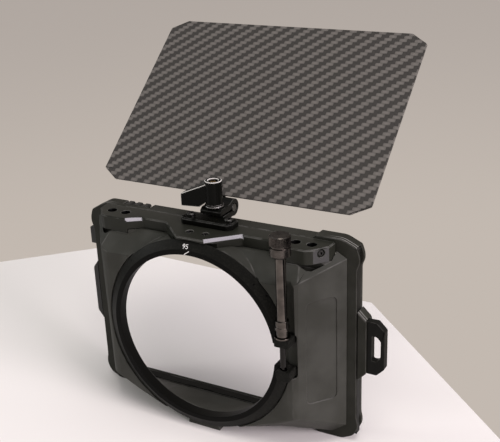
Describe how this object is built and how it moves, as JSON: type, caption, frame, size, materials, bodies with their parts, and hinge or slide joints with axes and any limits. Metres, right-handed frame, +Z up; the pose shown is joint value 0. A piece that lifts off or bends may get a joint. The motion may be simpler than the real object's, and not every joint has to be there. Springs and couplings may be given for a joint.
{
  "type": "clamp-on matte box with top flag",
  "caption": "Clamp-on matte box with a split lens collar, a thumb screw, a side-loading filter tray, a top plate and a tilting carbon top flag.",
  "frame": {"origin": "centre of the rear foot's flat sole, on the surface the box stands on", "axes": "+Z up, +Y along the lens's view through the box, so the clamp collar faces -Y; +X to the filter tray's handle"},
  "size_m": [0.1808, 0.1349, 0.199],
  "materials": {
    "housing": "fine matte moulded charcoal",
    "collar": "semi-gloss black anodised",
    "plate": "black anodised with bright chamfers",
    "lever": "glossy black",
    "screw": "burnished brown black",
    "fastener": "black oxide",
    "gold": "satin gold",
    "trim": "satin black",
    "spring": "bright spring steel",
    "carbon": "woven carbon sheet, satin lacquer"
  },
  "bodies": {
    "box": {"rear_housing": "housing", "front_frame": "housing", "clamp_collar": "collar", "clamp_washer": "fastener", "top_plate": "plate", "plate_screw_left": "fastener", "plate_screw_right": "fastener", "corner_screw_left": "fastener", "corner_screw_right": "fastener", "hinge_base": "lever", "rail_screw_left": "fastener", "rail_screw_right": "fastener", "lever_washer": "fastener", "slot_cap": "trim", "rear_foot": "housing"},
    "thumb_screw": {"clamp_screw": "screw", "screw_knob": "screw"},
    "lever": {"clamp_lever": "lever", "lever_screw": "gold"},
    "flag": {"flag_sheet": "carbon", "flag_bracket": "lever", "hinge_pin": "screw", "flag_screw_1": "fastener", "flag_screw_2": "fastener", "flag_nut_1": "fastener", "flag_nut_2": "fastener"},
    "tray": {"filter_tray": "plate", "tray_end_block": "housing"},
    "button": {"tray_release_button": "trim", "button_spring": "spring"},
    "lock": {"tray_lock_slide": "trim"}
  },
  "joints": [
    {"name": "flag_tilt", "type": "hinge", "parent": "box", "child": "flag", "pos_m": [0, 0.0298, 0.1194], "axis": [1, 0, 0], "range_deg": [-117, 50]},
    {"name": "lever_turn", "type": "hinge", "parent": "box", "child": "lever", "pos_m": [0, 0.0198, 0.125], "axis": [0, 0, 1], "range_deg": [0, 100]},
    {"name": "screw_turn", "type": "hinge", "parent": "box", "child": "thumb_screw", "pos_m": [0.0528, -0.0088, 0.1], "axis": [0, 0, 1], "continuous": true},
    {"name": "tray_slide", "type": "slide", "parent": "box", "child": "tray", "axis": [1, 0, 0], "range_m": [0, 0.15]},
    {"name": "button_press", "type": "slide", "parent": "box", "child": "button", "axis": [1, 0, 0], "range_m": [0, 0.0008], "stiffness_N_per_m": 800, "springref_m": -0.0004},
    {"name": "lock_slide", "type": "slide", "parent": "box", "child": "lock", "axis": [1, 0, 0], "range_m": [0, 0.002]}
  ]
}
